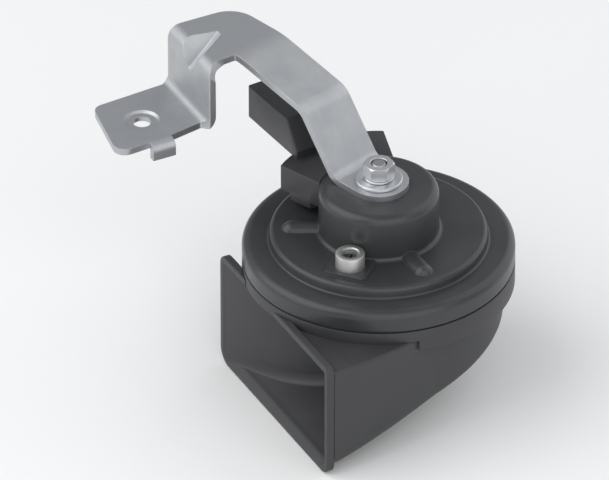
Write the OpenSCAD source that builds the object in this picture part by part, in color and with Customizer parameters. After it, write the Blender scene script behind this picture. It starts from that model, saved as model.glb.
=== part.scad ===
/* [Case] */
// Outside diameter of the case rim
case_d = 98.6; // [80:0.5:120]
// Thickness of the drawn sheet
sheet_t = 1.2; // [0.8:0.1:1.6]
// Depth of the rim band below the rim face
rim_depth = 8.6; // [7:0.1:10]
// Height of the plateau above the rim face
plateau_h = 4; // [3:0.1:6]
// Radius of the central cup
cup_r = 21.7; // [20:0.1:24]
// Height of the cup above the rim face
cup_h = 22.1; // [18:0.1:26]
// Number of raised ribs
rib_count = 3; // [2:1:5]
// Height of each rib
rib_h = 2.3; // [1.5:0.1:3]
// Angle of the adjusting boss about the horn axis
boss_angle = -49.5; // [-60:0.5:-40]
// Distance of the adjusting boss from the horn axis
boss_pos = 27.7; // [27:0.1:30]
// Outside radius of the adjusting boss
boss_r = 5.3; // [4.5:0.1:6]

/* [Bracket] */
// Thickness of the bracket strip
strip_t = 2.6; // [2:0.1:4]
// Width of the arm
arm_w = 21.6; // [18:0.1:26]
// Direction of the arm about the horn axis
arm_angle = 196.5; // [190:0.5:200]
// Height of the top plate above the rim face
plate_h = 53.8; // [48:0.1:60]
// Width of the leg
leg_w = 33; // [28:0.1:36]
// Reach of the foot past the leg
foot_reach = 33; // [28:0.5:40]
// Height of the foot's upper face above the rim face
foot_h = 30.2; // [27:0.1:33]
// Diameter of the mounting hole
hole_d = 6.6; // [5.5:0.1:8.6]

/* [Connector] */
// Direction of the connector about the horn axis
conn_angle = 184.5; // [182:0.5:187]
// Length of the socket
socket_l = 30.5; // [26:0.5:34]
// Width of the socket
socket_w = 22; // [18:0.5:24]
// Height of the socket
socket_h = 13.8; // [12:0.1:15]

/* [Trumpet] */
// Width of the mouth flange
flange_w = 83.8; // [78:0.1:90]
// Height of the mouth flange
flange_h = 46.5; // [44:0.1:52]
// Thickness of the mouth flange
flange_t = 3.1; // [2:0.1:4]
// Distance of the mouth's front face from the horn axis
mouth_y = 48.2; // [47:0.1:56]
// Thickness of the moulded walls
wall = 2.2; // [1.6:0.1:2.6]

/* [Drive] */
// Diameter of the bracket stud
stud_d = 6; // [5:0.5:8]
// Air gap between armature and core
air_gap = 0.9; // [0.7:0.1:1.5]
// Thickness of the diaphragm
skin_t = 0.4; // [0.3:0.05:0.6]

/* [Hidden] */
$fn = 96;

rim_r = case_d / 2;
annulus_r = rim_r - 9.6;
plateau_r = annulus_r - 0.6;
band_r = rim_r - sheet_t;
under_plateau = plateau_h - sheet_t;
under_cup = cup_h - sheet_t;
joint_r = band_r - 0.4;

// Stations along the horn axis, rim face at zero
gasket_t = 0.8;
skin_z = -sheet_t - gasket_t;
dome_h = 1.6;
skin_top = skin_z + dome_h;
plate_top = skin_z - skin_t - gasket_t;
chamber_z = plate_top - 4.6;
roof_z = -13;
split_z = roof_z - wall;
collar_z = -17.3;
skirt_start = -10.6;

// Drive
fit = 0.2;
core_r = 7.4;
bobbin_r = cup_r - sheet_t - 1.6;
bobbin_z = plateau_h + 1.4;
flange_z = 1.3;
armature_r = core_r - 0.6;
armature_top = bobbin_z + 3;
core_z = armature_top + air_gap;
disc_r = 14;
disc_t = 1.2;
stem_r = 2.5;
stem_l = 5;
lock_nut_af = 8;
lock_nut_h = 3.2;
lock_washer_r = 9;
lock_washer_t = 1;
wave_r = [15, 20, 26, 33];
wave_h = [0.7, 1.3];

// Fasteners on the stud
strap_top = cup_h + strip_t;
washer_r = 8.6;
washer_t = 1.2;
spring_r = 5.4;
spring_t = 1;
nut_h = 5.2;
nut_af = 10;
nut_chamfer = [0.7, 0.5];
nut_z = strap_top + washer_t + spring_t;

// Bracket plan
arm_u = [cos(arm_angle), sin(arm_angle)];
arm_n = [-sin(arm_angle), cos(arm_angle)];
rise_u = 28.1;
rise_h = plate_h - 7.2;
leg_x = -85;
leg_right = leg_x + leg_w;
leg_y = -41.6;
foot_y = leg_y - foot_reach;
hole_pos = [leg_x + 18.5, leg_y - 20];
bend_r = 5;
dish_h = 0.9;
dart_w = 19;
dart_d = 7.4;

// Adjusting boss and contact set
pad_w = [13.6, 15.3];
pad_h = 1;
collar_h = 5.6;
screw_r = 2.85;
screw_top = plateau_h + 4.4;
slot_w = 0.8;
slot_d = 1.2;
insulator = [8, 8, 0.6];
leaf_pitch = 1.1;
leaf_t = [0.3, 0.5];
leaf_w = 4;
contact_r = 1.8;
contact_h = 0.5;
contact_y = -6;
stack_y = -17;
stack_r = norm([insulator.x - 5, stack_y - insulator.y / 2]);
finger = 16;
leaf_z = under_plateau - insulator.z;

// Turn that keeps the contact set inside a smaller plateau
stack_reach = pow(plateau_r - 1.9, 2) - pow(boss_pos, 2) - pow(stack_r, 2);
stack_turn = acos(min(1, stack_reach / (2 * boss_pos * stack_r)));
tuck = max(0, stack_turn - atan2(insulator.y / 2 - stack_y, insulator.x - 5));

// Connector
block_z = plateau_h + 5.6;
block_h = 10.6;
block_top = block_z + block_h;
block_r = 38.8;
socket_u = 35;
socket_v = 14.6;
socket_wall = 1.8;
pin_u = 30;
pin_v = [0.4, 6.8];
pin_z = block_top + socket_h / 2;
blade_w = 3.2;
blade_t = 0.8;
blade_l = 24;
leg_t = 1.2;
slot_u = [pin_u - 3.2, pin_u + 3.2];
slot_v = [pin_v[0] - 2.6, pin_v[1] + 2.6];
rivet_v = [-6, 13];
rivet_r = 1.6;
rivet_head = [2.8, 0.8];

// Trumpet
body_r = rim_r - 4.1;
flange_x = -31.5;
flange_top = -10.8;
lip = 2;
inner_x = 21.5;
mouth_floor = -55;
floor_slope = 0.256;

function unit(v) = v / norm(v);
function lerp(a, b, t) = a + (b - a) * t;
function clamp01(t) = max(0, min(1, t));
function smooth(t) = let (c = clamp01(t)) c * c * (3 - 2 * c);
function wrap(a) = a > 180 ? a - 360 : a < -180 ? a + 360 : a;

// Points of a rounded corner at p between a and b
function corner(a, p, b, r, n = 8) =
    r == 0 ? [p] :
    let (u = unit(a - p), v = unit(b - p))
    let (half = acos(u * v) / 2, c = p + unit(u + v) * r / sin(half))
    let (s = p + u * r / tan(half) - c, e = p + v * r / tan(half) - c)
    let (a0 = atan2(s.y, s.x), da = wrap(atan2(e.y, e.x) - a0))
    [for (i = [0 : n]) c + r * [cos(a0 + da * i / n), sin(a0 + da * i / n)]];

// Open path with rounded corners
function path(pts, radii) =
    let (last = len(pts) - 1)
    [pts[0], for (i = [1 : last - 1])
        each corner(pts[i - 1], pts[i], pts[i + 1], radii[i - 1]), pts[last]];

// Closed outline with rounded corners
function outline(pts, radii, k = 8) =
    let (n = len(pts))
    [for (i = [0 : n - 1])
        each corner(pts[(i + n - 1) % n], pts[i], pts[(i + 1) % n], radii[i], k)];

function right_of(a, b) = let (d = unit(b - a)) [d.y, -d.x];

// Strip of sheet on the right-hand side of a path
function strip(p, t) =
    let (last = len(p) - 1)
    let (side = [for (i = [0 : last])
        let (m = right_of(p[max(i - 1, 0)], p[max(i, 1)]))
        let (k = right_of(p[min(i, last - 1)], p[min(i + 1, last)]))
        p[i] + t * (m + k) / (1 + m * k)])
    concat(p, [for (i = [last : -1 : 0]) side[i]]);

module tube(outer, inner, h) {
    difference() {
        cylinder(r = outer, h = h);
        translate([0, 0, -1]) cylinder(r = inner, h = h + 2);
    }
}

module block(x, y, z) {
    translate([x[0], y[0], z[0]]) cube([x[1] - x[0], y[1] - y[0], z[1] - z[0]]);
}

module at_boss() {
    rotate([0, 0, boss_angle]) translate([boss_pos, 0, 0]) children();
}

module arm_blank() {
    profile = path([[-arm_w, strap_top], [11.6, strap_top], [rise_u, rise_h],
                    [61, plate_h], [110, plate_h]], [5, 9, 40]);
    rotate([0, 0, arm_angle]) rotate([90, 0, 0]) translate([0, 0, -60])
        linear_extrude(height = 120) polygon(strip(profile, strip_t));
}

module arm_outline() {
    far_u = (leg_x + arm_n.x * arm_w / 2) / arm_u.x;
    near_u = (leg_right - arm_n.x * arm_w / 2) / arm_u.x + 5.6;
    far_edge = -arm_n * arm_w / 2;
    near_edge = arm_n * arm_w / 2;
    front = leg_y + bend_r;
    linear_extrude(height = 80)
        polygon(outline([far_edge, far_edge + arm_u * far_u, [leg_x, front],
                         [leg_right - 4.4, front], near_edge + arm_u * near_u, near_edge],
                        [0, 11, 0, 0, 0.8, 0]));
    cylinder(r = arm_w / 2, h = 80);
}

module leg_blank() {
    fold = path([[leg_y + bend_r + 3, plate_h], [leg_y, plate_h], [leg_y, foot_h],
                 [foot_y - 9, foot_h]], [bend_r, 3]);
    translate([leg_x, 0, 0]) rotate([90, 0, 90]) linear_extrude(height = leg_w + 9)
        polygon(strip(fold, -strip_t));
}

module foot_outline() {
    linear_extrude(height = 90)
        polygon(outline([[leg_x, leg_y + 20], [leg_x, leg_y - 0.5], [leg_x + 1, leg_y - 3],
                         [leg_x + 3, foot_y + 1], [leg_right + 0.6, foot_y - 4.4],
                         [leg_right - 1, leg_y - 15], [leg_right - 3.5, leg_y - 1.8],
                         [leg_right, leg_y + 0.2], [leg_right, leg_y + 20]],
                        [0, 0, 0, 4, 4.5, 3, 1, 0.5, 0]));
}

module locating_tab() {
    edge = leg_right + 2.7;
    turn = path([[edge - 9, foot_h], [edge, foot_h], [edge, foot_h - 6.5]], [3.4]);
    translate([0, leg_y - 15, 0]) rotate([90, 0, 0]) linear_extrude(height = 9)
        polygon(strip(turn, strip_t));
}

// Cut that narrows the top fold on its near side
module fold_cut() {
    low = (plate_h - bend_r + leg_y) / sqrt(2);
    high = (plate_h + leg_y + bend_r) / sqrt(2);
    rotate([45, 0, 0]) translate([0, 0, (plate_h - leg_y) / sqrt(2) - 12])
        linear_extrude(height = 20)
            polygon([[leg_right, low + 1.2], [leg_right - 1.6, (low + high) / 2],
                     [leg_right - 4.4, high], [leg_right - 5, high + 2.9],
                     [leg_right + 1, high + 2.9], [leg_right + 1, low + 1.2]]);
}

// Groove pressed across the top fold, grown by g for its inner side
module dart(g) {
    half = dart_w / 2 + g;
    low = dart_d + g;
    translate([leg_x + leg_w / 2, leg_y, plate_h]) rotate([-60, 0, 0]) rotate([0, -18, 0])
        linear_extrude(height = 60, center = true)
            polygon(outline([[half, -2], [1.4 + g / 2, low], [-1.4 - g / 2, low],
                             [-half, -2]], [0, 1.2 + g / 2, 1.2 + g / 2, 0], 3));
}

module mounting_bracket() {
    color("silver") difference() {
        union() {
            intersection() {
                arm_blank();
                arm_outline();
            }
            difference() {
                intersection() {
                    leg_blank();
                    foot_outline();
                }
                fold_cut();
            }
            locating_tab();
            intersection() {
                dart(strip_t - 0.7);
                translate([leg_x, 0, 0]) rotate([90, 0, 90]) linear_extrude(height = leg_w)
                    polygon(outline([[leg_y + 0.4, plate_h - 30], [leg_y + 0.4, plate_h - 0.4],
                                     [leg_y + 30, plate_h - 0.4], [leg_y + 30, plate_h - 30]],
                                    [0, bend_r, 0, 0]));
            }
        }
        dart(0);
        translate([0, 0, cup_h - 1]) cylinder(d = stud_d + 0.6, h = strip_t + 2);
        translate([hole_pos.x, hole_pos.y, 0]) {
            translate([0, 0, foot_h - strip_t - 1]) cylinder(d = hole_d, h = strip_t + 2);
            translate([0, 0, foot_h - dish_h]) cylinder(r1 = 5.7, r2 = 7.5, h = 2 * dish_h);
        }
    }
}

module plain_washer() {
    color("silver") translate([0, 0, strap_top])
        tube(washer_r, stud_d / 2 + fit + 0.05, washer_t);
}

module spring_washer() {
    color("gray") translate([0, 0, strap_top + washer_t]) difference() {
        tube(spring_r, stud_d / 2 + fit, spring_t);
        rotate([0, 0, 200]) translate([2, -0.5, -1]) cube([6, 1, spring_t + 2]);
    }
}

module bracket_nut() {
    corner_r = nut_af / sqrt(3);
    face_r = corner_r - nut_chamfer.x;
    color("silver") translate([0, 0, nut_z]) difference() {
        intersection() {
            rotate([0, 0, 27.5]) cylinder(r = corner_r, h = nut_h, $fn = 6);
            rotate_extrude() polygon([[0, 0], [face_r, 0], [corner_r, nut_chamfer.y],
                                      [corner_r, nut_h - nut_chamfer.y], [face_r, nut_h],
                                      [0, nut_h]]);
        }
        translate([0, 0, -1]) cylinder(d = stud_d, h = nut_h + 2);
    }
}

module rib(r, reach) {
    drop = plateau_h + rib_h - 3.8;
    translate([cup_r - 2, 0, drop]) rotate([0, 90, 0]) cylinder(r = r, h = reach - cup_r + 2);
    translate([reach, 0, drop]) sphere(r = r);
}

module ribs(r) {
    for (i = [0 : rib_count - 1])
        rotate([0, 0, 2.5 + i * 360 / rib_count]) rib(r, plateau_r - 7.6);
}

module pad(grow, top) {
    half = pad_w / 2;
    at_boss() linear_extrude(height = top)
        polygon(outline([[-half.x, -half.y], [half.x, -half.y], [half.x, half.y],
                         [-half.x, half.y]] * ((half.x - grow) / half.x),
                        [1.5, 1.5, 1.5, 1.5]));
}

module horn_case() {
    shell = path([[stud_d / 2 + 0.2, cup_h], [cup_r, cup_h], [cup_r, plateau_h],
                  [plateau_r, plateau_h], [annulus_r, 0], [rim_r, 0],
                  [rim_r, -rim_depth], [rim_r - 2.2, -rim_depth]],
                 [3, 1.6, 1.6, 0.8, 3, 1.3]);
    color("dimgray") difference() {
        union() {
            rotate_extrude() polygon(strip(shell, sheet_t));
            difference() {
                union() {
                    ribs(3.8);
                    pad(0, plateau_h + pad_h);
                }
                translate([0, 0, -10]) cylinder(r = plateau_r - 1, h = 10 + under_plateau);
                cylinder(r = cup_r - sheet_t / 2, h = cup_h);
            }
        }
        intersection() {
            ribs(3.8 - sheet_t);
            tube(plateau_r, cup_r - sheet_t, 20);
        }
        pad(sheet_t, plateau_h + pad_h - sheet_t);
        at_boss() cylinder(r = boss_r - 1.2, h = 20);
        rotate([0, 0, conn_angle]) {
            block(slot_u, slot_v, [0, plateau_h + 1]);
            housing_rivet_places() cylinder(r = rivet_r, h = 10);
        }
    }
}

module pole_core() {
    color("slategray") {
        translate([0, 0, core_z]) cylinder(r = core_r, h = under_cup - core_z);
        translate([0, 0, under_cup - 1]) cylinder(d = stud_d, h = nut_z + nut_h - under_cup);
        translate([0, 0, nut_z + nut_h - 1]) cylinder(d1 = stud_d, d2 = stud_d - 1.6, h = 1);
    }
}

module coil_bobbin() {
    color("ivory") {
        translate([0, 0, bobbin_z]) tube(core_r + 1.6, core_r + 0.2, under_cup - bobbin_z);
        for (z = [bobbin_z, under_cup - flange_z])
            translate([0, 0, z]) tube(bobbin_r, core_r + 0.2, flange_z);
    }
}

module coil_winding() {
    color("peru") translate([0, 0, bobbin_z + flange_z])
        tube(bobbin_r - 1.2, core_r + 1.6, under_cup - bobbin_z - 2 * flange_z);
}

module armature() {
    color("slategray") translate([0, 0, skin_top]) {
        cylinder(r = armature_r, h = armature_top - skin_top);
        cylinder(r = disc_r, h = disc_t);
        translate([0, 0, -skin_t - stem_l]) cylinder(r = stem_r, h = skin_t + stem_l + 1);
    }
}

module armature_washer() {
    color("silver") translate([0, 0, skin_top - skin_t - lock_washer_t])
        tube(lock_washer_r, stem_r, lock_washer_t);
}

module armature_nut() {
    color("silver") translate([0, 0, skin_top - skin_t - lock_washer_t - lock_nut_h])
        difference() {
            cylinder(r = lock_nut_af / sqrt(3), h = lock_nut_h, $fn = 6);
            translate([0, 0, -1]) cylinder(r = stem_r, h = lock_nut_h + 2);
        }
}

module diaphragm() {
    skin = path([[stem_r, skin_top], [wave_r[0], skin_top], [wave_r[1], skin_z + wave_h[0]],
                 [wave_r[2], skin_z + wave_h[1]], [wave_r[3], skin_z], [joint_r, skin_z]],
                [8, 6, 6, 8]);
    color("lightsteelblue") rotate_extrude() polygon(strip(skin, skin_t));
}

module upper_gasket() {
    color("black") translate([0, 0, skin_z]) tube(joint_r - 1.6, annulus_r + 1.6, gasket_t);
}

module lower_gasket() {
    color("black") translate([0, 0, plate_top]) tube(joint_r, annulus_r + 1.6, gasket_t);
}

// Contact set, hung under the plateau beside the boss
module at_contacts() {
    at_boss() rotate([0, 0, -tuck]) children();
}

module contact_places() {
    low = leaf_z - 2 * leaf_pitch;
    at_contacts() for (v = [-2, 2]) translate([-1, stack_y + v, low]) children();
}

module contact_insulators() {
    half = insulator.y / 2;
    color("saddlebrown") difference() {
        at_contacts() for (i = [0 : 2]) {
            z = leaf_z - i * leaf_pitch;
            block([-5, insulator.x - 5], [stack_y - half, stack_y + half], [z, z + insulator.z]);
        }
        contact_places() cylinder(r = 1, h = 9, center = true);
    }
}

module moving_contact_arm() {
    end = contact_y + leaf_w / 2;
    z = [leaf_z - leaf_t[0], leaf_z];
    color("goldenrod") difference() {
        at_contacts() {
            block([-4, 2], [stack_y - insulator.y / 2, end], z);
            block([-finger, 2], [end - leaf_w, end], z);
            translate([-1, contact_y, leaf_z - 0.7]) cylinder(r = contact_r, h = contact_h);
        }
        contact_places() cylinder(r = 1, h = 9, center = true);
    }
}

module fixed_contact_arm() {
    low = leaf_z - leaf_pitch - leaf_t[1];
    color("darkgoldenrod") difference() {
        at_contacts() {
            block([-4, 2], [stack_y - insulator.y / 2, 3], [low, low + leaf_t[1]]);
            translate([-1, contact_y, leaf_z - 1.2]) cylinder(r = contact_r, h = contact_h);
        }
        contact_places() cylinder(r = 1, h = 9, center = true);
    }
}

module contact_rivets() {
    color("silver") contact_places() {
        cylinder(r = 1, h = insulator.z + 2 * leaf_pitch);
        translate([0, 0, -0.4]) cylinder(r = 1.7, h = 0.4);
    }
}

module adjusting_collar() {
    pad_top = plateau_h + pad_h;
    color("silver") at_boss() {
        translate([0, 0, pad_top]) tube(boss_r, screw_r, collar_h);
        translate([0, 0, pad_top - sheet_t - 0.4]) tube(boss_r - 1.2, screw_r, sheet_t + 1);
    }
}

module adjusting_screw() {
    tip = leaf_z - leaf_pitch;
    color("silver") at_boss() difference() {
        union() {
            translate([0, 0, tip + 1.4]) cylinder(r = screw_r, h = screw_top - tip - 1.4);
            translate([0, 0, tip]) cylinder(r = 1.2, h = 2);
        }
        translate([-4, -slot_w / 2, screw_top - slot_d]) cube([8, slot_w, 2]);
    }
}

module pins() {
    low = block_top - 4;
    foot = [pin_u - leg_t / 2, pin_u + leg_t / 2];
    riser = [socket_u + 1, socket_u + 1 + leg_t];
    for (v = pin_v) {
        side = [v - blade_w / 2, v + blade_w / 2];
        block(foot, side, [plateau_h - 3.4, low]);
        block([foot[0], riser[1]], side, [low - blade_t, low]);
        block(riser, side, [low - blade_t, pin_z]);
        block([riser[0], socket_u + blade_l], side, [pin_z - blade_t, pin_z]);
    }
}

module housing_rivet_places() {
    for (v = rivet_v) translate([pin_u, v, 0]) children();
}

module connector_housing() {
    end_u = socket_u + socket_l;
    top = block_top + socket_h;
    side = socket_v - socket_w;
    color("darkslategray") rotate([0, 0, conn_angle]) difference() {
        union() {
            intersection() {
                translate([0, 0, block_z]) tube(block_r, cup_r, block_h);
                translate([0, 0, block_z]) linear_extrude(height = block_h)
                    polygon([[10, -14], [34, -23], [44, -23], [44, 22], [34, 22], [10, 14]]);
            }
            block(slot_u, [rivet_v[0] - 3, rivet_v[1] + 2], [plateau_h, block_z + 1]);
            translate([0, 0, block_z - 2.5]) linear_extrude(height = 4)
                polygon([[19.3, 17.1], [27.9, 20.1], [27.1, 17.6], [18.5, 14.6]]);
            block(slot_u, slot_v, [plateau_h - 2.4, plateau_h + 1]);
            rotate([90, 0, 0]) translate([0, 0, -socket_v])
                linear_extrude(height = socket_w)
                    polygon([[socket_u - 2.7, block_top - 1], [socket_u - 2.7, block_top + 3.2],
                             [socket_u + 4.5, top], [end_u, top], [end_u, block_top],
                             [socket_u, block_top], [socket_u, block_top - 1]]);
        }
        block([socket_u + 7, end_u + 1], [side + socket_wall, socket_v - socket_wall],
              [block_top + socket_wall, top - socket_wall]);
        pins();
        housing_rivet_places() translate([0, 0, plateau_h - 1])
            cylinder(r = rivet_r, h = block_z - plateau_h + 4);
    }
}

module terminal_pins() {
    color("gold") rotate([0, 0, conn_angle]) pins();
}

module connector_rivets() {
    color("silver") rotate([0, 0, conn_angle]) housing_rivet_places() {
        translate([0, 0, under_plateau - rivet_head.y])
            cylinder(r = rivet_head.x, h = rivet_head.y);
        translate([0, 0, under_plateau - rivet_head.y / 4])
            cylinder(r = rivet_r, h = block_z + 3.2 - under_plateau);
    }
}

module resistor() {
    body = 1.6;
    color("tan") rotate([0, 0, 100])
        translate([plateau_r - 6.1, -5, under_plateau - body])
            rotate([-90, 0, 0]) cylinder(r = body, h = 10);
}

// Duct walls and floor, by angle past the mouth and by distance along the mouth
function out_r(a) = body_r - wall - 25 * smooth((a - 180) / 160);
function in_r(a) = inner_x + 2.5 * smooth(a / 200) - 21 * smooth((a - 200) / 160);
function floor_z(a) = -26.4 - 17.5 * exp(-a / 60);
function flare(y) = 7.1 * sin(90 * clamp01(-y / (mouth_y - 3)));
function in_x(y) = let (t = -y / mouth_y) inner_x - 34.6 * t * t - 16.4 * pow(t, 7);
function slant(y) = let (t = -y / mouth_y) norm([1, (69.2 * t + 114.8 * pow(t, 6)) / mouth_y]);
function straight_z(y) = mouth_floor + floor_slope * (y + mouth_y - 5);

// Rounded section between an inner and an outer point
function section(pin, pout, top, low, r) =
    let (d = unit(pout - pin), w = norm(pout - pin))
    let (flat = [each corner([0, top], [0, low], [w, low], r, 4),
                 each corner([0, low], [w, low], [w, top], r, 4),
                 each corner([w, low], [w, top], [0, top], 1.2, 1),
                 each corner([w, top], [0, top], [0, low], 1.2, 1)])
    [for (p = flat) [pin.x + d.x * p.x, pin.y + d.y * p.x, p.y]];

// Sections from the mouth to the throat, grown outwards by g
function mouth_sections(g) = [for (i = [0 : 8])
    let (y = (flange_t - mouth_y) * (1 - smooth(i / 9)))
    section([in_x(y) - g * slant(y), y], [body_r - wall + flare(y) + g, y],
            split_z + g, straight_z(y) + wall - g, 4 + g)];

// Sections of the bell that opens the duct to the flange's front face
function bell_sections() = [for (y = [-mouth_y - 1, for (k = [0 : 5]) k * flange_t / 6 - mouth_y])
    let (t = pow(clamp01(1 - (y + mouth_y) / flange_t), 2), e = flange_t - mouth_y)
    section([in_x(max(y, -mouth_y)), y],
            [lerp(body_r - wall + flare(e), flange_x + flange_w - lip, t), y],
            lerp(split_z, flange_top - lip, t),
            lerp(straight_z(e) + wall, flange_top - flange_h + lip, t), 4)];
function spiral_sections(g) = [for (a = [0 : 15 : 360])
    let (d = [cos(a), sin(a)], e = a == 360 ? [0, g] : [0, 0])
    section(d * (in_r(a) - g) + e, d * (out_r(a) + g) + e,
            split_z + g, floor_z(a) + wall - g, 2.6 + g)];

module sweep(rows) {
    n = len(rows[0]);
    m = len(rows);
    pts = [for (r = rows) each r];
    sides = [for (i = [0 : m - 2]) for (j = [0 : n - 1])
        let (k = (j + 1) % n, p = i * n, q = p + n)
        each [[p + j, q + k, q + j], [p + j, p + k, q + k]]];
    caps = [[for (j = [n - 1 : -1 : 0]) j], [for (j = [0 : n - 1]) (m - 1) * n + j]];
    polyhedron(points = pts, faces = concat(sides, caps), convexity = 10);
}

module flange_plate() {
    x = [flange_x, flange_x + flange_w];
    z = [flange_top - flange_h, flange_top];
    translate([0, flange_t - mouth_y, 0]) rotate([90, 0, 0]) linear_extrude(height = flange_t)
        polygon(outline([[x[0], z[0]], [x[1], z[0]], [x[1], z[1]], [x[0], z[1]]],
                        [6.3, 4.7, 3.1, 3.9]));
}

// Prism with many flat sides, for cuts in the moulded duct
module prism(r, z0, z1) {
    translate([0, 0, z0]) linear_extrude(height = z1 - z0)
        polygon([for (i = [0 : 71]) r * [cos(i * 5), sin(i * 5)]]);
}

// Sector cut out of the collar's skirt
module skirt_gap(start, turn, outer) {
    depth = roof_z - collar_z + 1;
    translate([0, 0, collar_z - 1]) intersection() {
        cylinder(r = outer, h = depth);
        linear_extrude(height = depth)
            polygon([[0, 0], for (i = [0 : 6]) let (a = start + turn * i / 6)
                        1.6 * rim_r * [cos(a), sin(a)]]);
    }
}

module chamber_plate() {
    shoulder = rim_r - 2.5;
    skirt_r = body_r + 0.3;
    color("dimgray") {
        difference() {
            rotate_extrude() polygon([[0, roof_z], [skirt_r, roof_z], [skirt_r, collar_z],
                                      [rim_r, collar_z], [rim_r, -rim_depth],
                                      [shoulder, -rim_depth], [shoulder, 1 - rim_depth],
                                      [joint_r, 1.4 - rim_depth], [joint_r, plate_top],
                                      [annulus_r + 1.6, plate_top],
                                      [annulus_r - 1, chamber_z], [0, chamber_z]]);
            translate([9.8, -1.7, roof_z - 1]) cylinder(r = 5, h = 20);
            skirt_gap(223, 137 + skirt_start, rim_r + 1);
            skirt_gap(skirt_start - 1, 4 - skirt_start, rim_r - 0.7);
        }
    }
}

module snail_trumpet() {
    color("darkgray") difference() {
        union() {
            sweep(concat(mouth_sections(wall), spiral_sections(wall)));
            difference() {
                flange_plate();
                prism(rim_r + 0.15, roof_z, 0);
            }
        }
        sweep(concat(bell_sections(), mouth_sections(0), spiral_sections(0)));
        translate([9.8, -1.7, 0]) prism(5, split_z - 2, roof_z + 1);
    }
}

module placed() {
    translate([-hole_pos.x, -hole_pos.y, strip_t - foot_h]) children();
}

placed() mounting_bracket();
placed() plain_washer();
placed() spring_washer();
placed() bracket_nut();
placed() horn_case();
placed() pole_core();
placed() coil_bobbin();
placed() coil_winding();
placed() armature();
placed() armature_washer();
placed() armature_nut();
placed() diaphragm();
placed() upper_gasket();
placed() lower_gasket();
placed() contact_insulators();
placed() fixed_contact_arm();
placed() moving_contact_arm();
placed() contact_rivets();
placed() adjusting_collar();
placed() adjusting_screw();
placed() connector_housing();
placed() terminal_pins();
placed() connector_rivets();
placed() resistor();
placed() chamber_plate();
placed() snail_trumpet();
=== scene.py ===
import math

import bmesh
import bpy
from mathutils import Matrix, Vector


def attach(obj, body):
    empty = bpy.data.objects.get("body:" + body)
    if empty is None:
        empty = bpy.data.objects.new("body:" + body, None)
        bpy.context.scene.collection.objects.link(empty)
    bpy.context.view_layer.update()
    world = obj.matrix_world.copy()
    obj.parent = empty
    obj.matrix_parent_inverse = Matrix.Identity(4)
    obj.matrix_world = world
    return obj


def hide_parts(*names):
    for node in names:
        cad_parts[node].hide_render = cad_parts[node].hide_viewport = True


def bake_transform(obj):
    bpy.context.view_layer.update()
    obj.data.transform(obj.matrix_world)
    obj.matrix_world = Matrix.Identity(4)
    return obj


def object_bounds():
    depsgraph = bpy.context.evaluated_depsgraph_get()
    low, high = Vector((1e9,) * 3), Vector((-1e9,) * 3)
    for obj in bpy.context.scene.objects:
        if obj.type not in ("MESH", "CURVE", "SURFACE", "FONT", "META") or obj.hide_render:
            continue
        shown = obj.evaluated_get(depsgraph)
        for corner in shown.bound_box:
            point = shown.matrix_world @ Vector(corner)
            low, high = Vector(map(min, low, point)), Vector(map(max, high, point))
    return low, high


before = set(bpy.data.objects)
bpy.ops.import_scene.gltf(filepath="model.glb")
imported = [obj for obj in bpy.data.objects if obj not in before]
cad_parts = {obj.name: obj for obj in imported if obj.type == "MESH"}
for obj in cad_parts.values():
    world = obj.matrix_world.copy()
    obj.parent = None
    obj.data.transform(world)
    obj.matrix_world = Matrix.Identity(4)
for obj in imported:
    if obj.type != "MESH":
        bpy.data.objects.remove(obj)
cad_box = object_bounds()
scene = bpy.context.scene
scene.view_settings.view_transform = "Standard"

# Camera. The drawing is a parallel projection from above and from the mouth's
# side, so a very long lens stands far back and looks down by 34.2 degrees.
view_turn = math.radians(-27.5)
view_rise = math.radians(34.2)
view_width = 0.21924
lens = 600
sensor = 36
aim = Vector((0.05475, 0.03764, -0.02855))
toward = Vector((math.cos(view_turn) * math.cos(view_rise),
                 math.sin(view_turn) * math.cos(view_rise), math.sin(view_rise)))
camera = bpy.data.objects.new("camera", bpy.data.cameras.new("camera"))
camera.data.lens = lens
camera.data.sensor_width = sensor
camera.data.clip_end = 20
camera.location = aim + toward * (view_width * lens / sensor)
camera.rotation_euler = (-toward).to_track_quat("-Z", "Y").to_euler()
scene.collection.objects.link(camera)
scene.camera = camera

# Room. A pale floor just under the trumpet's flange and three soft lamps stand
# in for a photographer's table; the world fills the shadows.
floor_z = cad_box[0][2] - 0.0002
floor_half = 4
floor_mesh = bpy.data.meshes.new("floor")
floor_mesh.from_pydata([(x * floor_half, y * floor_half, floor_z)
                        for x, y in ((-1, -1), (1, -1), (1, 1), (-1, 1))], [], [(0, 1, 2, 3)])
floor = bpy.data.objects.new("floor", floor_mesh)
scene.collection.objects.link(floor)
floor_paper = bpy.data.materials.new("floor_paper")
floor_paper.use_nodes = True
paper = floor_paper.node_tree.nodes["Principled BSDF"]
paper.inputs["Base Color"].default_value = (0.88, 0.88, 0.87, 1)
paper.inputs["Roughness"].default_value = 0.9
paper.inputs["Specular IOR Level"].default_value = 0.1
floor_mesh.materials.append(floor_paper)

world = bpy.data.worlds.new("room")
scene.world = world
world.use_nodes = True
room = world.node_tree
room.nodes["Background"].inputs["Color"].default_value = (0.93, 0.95, 1, 1)
room.nodes["Background"].inputs["Strength"].default_value = 0.45
for name, place, size, power in (("key_lamp", (-0.25, -0.75, 0.75), 1.4, 10),
                                 ("fill_lamp", (0.9, -0.1, 0.45), 1.3, 5.5),
                                 ("rim_lamp", (-0.1, 0.9, 0.5), 1.3, 4)):
    lamp = bpy.data.objects.new(name, bpy.data.lights.new(name, "AREA"))
    lamp.data.size = size
    lamp.data.energy = power
    lamp.location = Vector(place) + aim
    lamp.rotation_euler = (-Vector(place)).to_track_quat("-Z", "Y").to_euler()
    scene.collection.objects.link(lamp)


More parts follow.
